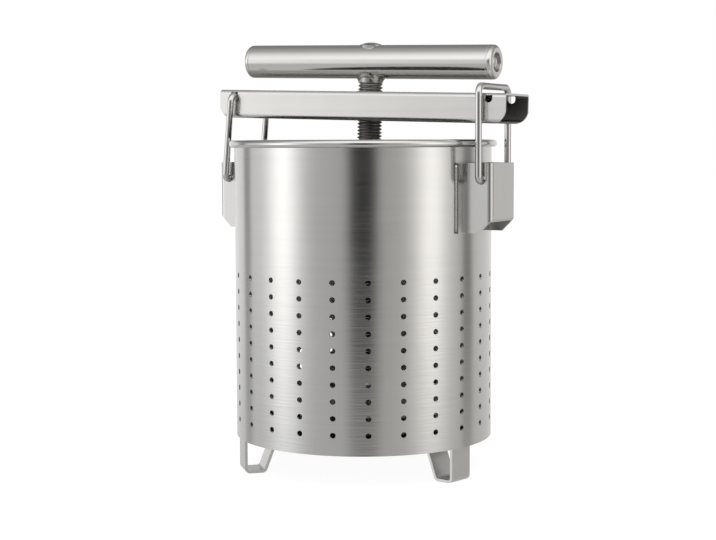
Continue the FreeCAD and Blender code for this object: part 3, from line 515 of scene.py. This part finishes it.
def nut_tacks():
    """Short welds that hold the nut under the crossbar's web, at the two flats that face along the bar."""
    half = 0.005
    for side, name in ((1, "a"), (-1, "b")):
        piece = weld_run(f"nut_tack_{name}", -half, half, 0.0021)
        piece.matrix_world = (Matrix.Translation((0, side * NUT_FLATS / 2, BAR_TOP - SHEET))
                              @ Matrix.Rotation(math.pi / 2, 4, "Y"))
        finish_piece(piece, piece.name, WELD_STEEL, "crossbar", lean=True, smooth=60)


def boss_bolts():
    """The two socket screws through the plate's boss, each with the hexagon in its head."""
    boss, head, rise, shank, reach, tip = 0.0151, 0.00425, 0.004, 0.0025, 0.00745, 0.0021
    groove, across, deep, edge = 0.0049, 0.0023, 0.0022, 0.0004
    height = PLATE_BOTTOM + 0.002 + 0.012
    for side, name in ((1, "a"), (-1, "b")):
        bpy.ops.mesh.primitive_cylinder_add(vertices=48, radius=head, depth=rise, end_fill_type="NGON")
        piece = bpy.context.object
        piece.location.z = boss + rise / 2
        select_only(piece)
        bpy.ops.object.transform_apply(location=True)
        bpy.ops.mesh.primitive_cylinder_add(vertices=6, radius=across, depth=deep * 2)
        cutter = bpy.context.object
        cutter.location.z = boss + rise
        apply_modifier(piece, "BEVEL", width=edge, segments=3, limit_method="ANGLE")
        apply_modifier(piece, "BOOLEAN", operation="DIFFERENCE", object=cutter, solver="EXACT")
        bpy.data.objects.remove(cutter)
        stem = turned([(0, groove), (tip, groove), (tip, reach), (shank, reach + edge), (shank, boss + edge),
                       (0, boss + edge)], 32, "stem")
        select_only(piece)
        stem.select_set(True)
        bpy.ops.object.join()
        # Drawn along Z, the bolt is laid along Y and lifted to the screw's groove.
        piece.matrix_world = Matrix.Translation((0, 0, height)) @ Matrix.Rotation(-side * math.pi / 2, 4, "X")
        finish_piece(piece, f"boss_bolt_{name}", BOLT_STEEL, "plate", ["hub_bolts"] if side > 0 else (),
                     lean=True, smooth=30)


def seam_weld():
    """The ground weld that closes the rolled barrel, at its back, between two columns of perforations."""
    width, stand = 0.003, 0.00012
    turn = DRAIN_TURN + math.tau / DRAIN_COLUMNS * 5.5
    bottom, top = SHELL_BOTTOM + 0.0005, RIM_TOP - BEAD_R * 3
    across = width / 2 / BARREL_R
    section = [(math.sin(across * part) * BARREL_R, math.cos(across * part) * BARREL_R + stand * (1 - part ** 2))
               for part in (-1, -0.5, 0, 0.5, 1)]
    section += [(x, BARREL_R - 0.0006) for x in (width / 2, -width / 2)]
    piece = draw_line(section + section[:1], "seam")
    # The section is drawn in XZ, laid flat, raised along Z and turned to the back of the barrel.
    piece.matrix_world = Matrix.Rotation(turn - math.pi / 2, 4, "Z") @ Matrix.Rotation(-math.pi / 2, 4, "X")
    select_only(piece)
    bpy.ops.object.transform_apply(location=True, rotation=True)
    bpy.ops.object.mode_set(mode="EDIT")
    bpy.ops.mesh.select_all(action="SELECT")
    bpy.ops.mesh.remove_doubles(threshold=1e-7)
    bpy.ops.mesh.edge_face_add()
    bpy.ops.mesh.extrude_region_move(TRANSFORM_OT_translate={"value": (0, 0, top - bottom)})
    bpy.ops.object.mode_set(mode="OBJECT")
    piece.location.z = bottom
    tidy_normals(piece)
    finish_piece(piece, "barrel_seam", WELD_STEEL, "barrel", smooth=40)


def press_plate():
    """The dished plate."""
    bottom, sheet, rim, bend = PLATE_BOTTOM, 0.002, 0.014, 0.003
    outer = bend + sheet
    middle = (PLATE_R - outer, bottom + outer)
    section = [(0, bottom)] + arc(middle, outer, -90, 0, 8) + [(PLATE_R, bottom + rim - 0.0003)]
    section += [(PLATE_R - 0.0003, bottom + rim), (PLATE_R - sheet + 0.0003, bottom + rim),
                (PLATE_R - sheet, bottom + rim - 0.0003)]
    section += arc(middle, bend, 0, -90, 8) + [(0, bottom + sheet)]
    piece = turned(section, 128, "press_plate")
    finish_piece(piece, "dished_plate", PLATE_STEEL, "plate", ["press_plate"], lean=True)


def dress_nodes():
    """Materials of the CAD nodes that stay."""
    for nodes, material in (
        (("crossbar",), BAR_STEEL),
        (("screw_nut",), NUT_STEEL),
        (("lug_right", "lug_left"), LUG_STEEL),
        (("leg_front_right", "leg_front_left", "leg_rear"), LEG_STEEL),
        (("bail_right", "bail_left"), WIRE_STEEL),
        (("plate_hub", "plate_rib_1", "plate_rib_2", "plate_rib_3", "plate_rib_4"), PLATE_STEEL),
        (("thrust_pad",), PAD_BRONZE),
    ):
        for node in nodes:
            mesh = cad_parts[node].data
            mesh.materials.clear()
            mesh.materials.append(material)
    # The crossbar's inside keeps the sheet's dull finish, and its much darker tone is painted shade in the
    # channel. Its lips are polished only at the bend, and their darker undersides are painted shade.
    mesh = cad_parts["crossbar"].data
    mesh.materials.append(INNER_STEEL_PAINTED_SHADE)
    mesh.materials.append(LIP_STEEL_PAINTED_SHADE)
    into_bar = LEAN_MOVE.inverted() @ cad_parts["crossbar"].matrix_world
    for face in mesh.polygons:
        middle = into_bar @ face.center
        inside = abs(middle.y) < BAR_HALF - SHEET * 0.9 and middle.z < BAR_TOP - SHEET * 0.9
        under = middle.z < BAR_TOP - BAR_HEIGHT + SHEET / 2
        face.material_index = 2 if inside and under else int(inside)


def studio():
    """A pale floor, and a studio whose panels stand round the press as light from the world."""
    bpy.ops.mesh.primitive_plane_add(size=12, location=(0, 0, 0))
    floor = bpy.context.object
    floor.name = "floor"
    material, shop = new_material("pale_floor")
    seen = shop.add("ShaderNodeLightPath", output="Is Camera Ray")
    mirrored = shop.add("ShaderNodeLightPath", output="Is Glossy Ray")
    paint = shop.add("ShaderNodeBsdfDiffuse", {"Color": (0.9, 0.9, 0.9, 1)})
    shaded = shop.add("ShaderNodeBsdfDiffuse", {"Color": (0.16, 0.16, 0.16, 1)})
    glow = shop.add("ShaderNodeEmission", {"Color": (1, 1, 1, 1), "Strength": 0.92})
    lit = shop.add("ShaderNodeAddShader", {0: shaded, 1: glow})
    mixed = shop.add("ShaderNodeMixShader", {0: seen, 1: paint, 2: lit})
    # Metal sees the panels that stand on the floor, and not the floor in front of them.
    clear = shop.add("ShaderNodeBsdfTransparent")
    whole = shop.add("ShaderNodeMixShader", {0: mirrored, 1: mixed, 2: clear})
    shop.add("ShaderNodeOutputMaterial", {"Surface": whole})
    floor.data.materials.append(material)
    world = bpy.data.worlds.new("studio")
    bpy.context.scene.world = world
    world.use_nodes = True
    world.node_tree.nodes.clear()
    shop = Shop(world.node_tree)
    direction = shop.add("ShaderNodeTexCoord", output="Generated")
    turn = Matrix.Rotation(STUDIO_TURN, 3, "Z")

    def along(axis):
        values = {0: direction, 1: turn @ Vector(axis)}
        return shop.add("ShaderNodeVectorMath", values, output="Value", operation="DOT_PRODUCT")

    bearing = shop.maths("ARCTAN2", along((1, 0, 0)), along((0, -1, 0))) * math.degrees(1)
    height = along((0, 0, 1))
    walls = ROOM_LIGHT
    for middle, width, change, crisp in PANELS.values():
        offset = shop.maths("WRAP", bearing - middle, 180, -180) / width
        fall = offset * offset
        if crisp:
            fall = fall * fall
        walls = walls + shop.maths("EXPONENT", fall * -1) * change
    walls = shop.maths("MAXIMUM", walls, 0)
    # Over the panels the room is bright in front and gets dim towards the back.
    front = shop.add("ShaderNodeValToRGB", {"Fac": along((0, -1, 0)) * 0.5 + 0.5},
                     stops=[(0.2, 0.2), (0.5, 0.42), (0.74, 1.0)])
    upper = front * 1.4
    rise = shop.add("ShaderNodeValToRGB", {"Fac": height}, stops=[(0.16, 0.0), (0.34, 1.0)])
    lower = shop.add("ShaderNodeValToRGB", {"Fac": height * -1}, stops=[(0.08, 0.0), (0.27, 1.0)])
    # Below them the floor shows, lit by the panels on its side of the room.
    room = shop.blend(lower, shop.blend(rise, walls, upper), walls * 0.1 + 0.51)
    # The light from the right is a little warmer.
    warmth = shop.add("ShaderNodeValToRGB", {"Fac": bearing / 360 + 0.5},
                      stops=[(0.48, (1.0, 1.0, 1.0)), (0.56, (1.0, 0.975, 0.945)), (0.97, (1.0, 0.99, 0.98))])
    tinted = shop.add("ShaderNodeVectorMath", {0: room, 1: warmth}, operation="MULTIPLY")
    studio_light = shop.add("ShaderNodeBackground", {"Color": tinted, "Strength": 1.0})
    white = shop.add("ShaderNodeBackground", {"Color": (1, 1, 1, 1), "Strength": 1.0})
    seen = shop.add("ShaderNodeLightPath", output="Is Camera Ray")
    through = shop.add("ShaderNodeLightPath", output="Is Transmission Ray")
    both = shop.add("ShaderNodeMixShader", {0: shop.maths("MAXIMUM", seen, through), 1: studio_light, 2: white})
    shop.add("ShaderNodeOutputWorld", {"Surface": both})


# The studio's panels: the bearing of a panel's middle and its half width, in degrees from the line between press
# and camera, how much brighter or darker than the room it is, and whether its edges are crisp.
STUDIO_TURN = math.radians(28.5)
ROOM_LIGHT = 0.49
PANELS = {
    "left softbox": (-75, 18, 1.06, False),
    "right softbox": (62, 18, 0.98, False),
    "dark side with the camera": (-0.5, 13.5, -0.5, True),
    "gap on the right": (105.5, 8, -0.44, True),
    "gap on the left": (-125, 7, -0.5, True),
    "pale back wall": (-165, 95, 0.45, False),
}


# The photograph's camera, found from the barrel's rim, floor, perforations and lugs.
CAMERA_TURN = math.radians(28.5)
CAMERA_DISTANCE = 1.1167
CAMERA_HEIGHT = 0.2382
CAMERA_PITCH = math.radians(4.77)
CAMERA_ASIDE = math.radians(0.204)
CAMERA_ROLL = math.radians(-0.205)


def photo_camera():
    camera = bpy.data.objects.new("camera", bpy.data.cameras.new("camera"))
    bpy.context.scene.collection.objects.link(camera)
    camera.data.sensor_width = 36
    camera.data.lens = 76.34
    camera.matrix_world = (
        Matrix.Translation((CAMERA_DISTANCE * math.sin(CAMERA_TURN), -CAMERA_DISTANCE * math.cos(CAMERA_TURN),
                            CAMERA_HEIGHT))
        @ Matrix.Rotation(CAMERA_TURN + CAMERA_ASIDE, 4, "Z")
        @ Matrix.Rotation(math.pi / 2 - CAMERA_PITCH, 4, "X")
        @ Matrix.Rotation(CAMERA_ROLL, 4, "Z")
    )
    bpy.context.scene.camera = camera


def lamp(name, place, size, power):
    """A soft rectangular lamp that faces the middle of the press."""
    data = bpy.data.lights.new(name, "AREA")
    data.shape = "RECTANGLE"
    data.size, data.size_y = size
    data.energy = power
    item = bpy.data.objects.new(name, data)
    bpy.context.scene.collection.objects.link(item)
    item.location = place
    item.visible_glossy = False
    item.rotation_euler = (Vector((0, 0, 0.16)) - Vector(place)).to_track_quat("-Z", "Y").to_euler()


barrel_shell()
barrel_base()
threaded_screw()
handle()
press_plate()
weld_under_handle()
lug_welds()
nut_tacks()
boss_bolts()
seam_weld()
dress_nodes()
photo_camera()
studio()
lamp("top_panel", (0.1, -0.3, 1.6), (1.2, 1.2), 6)

bpy.context.scene.view_settings.view_transform = "Standard"
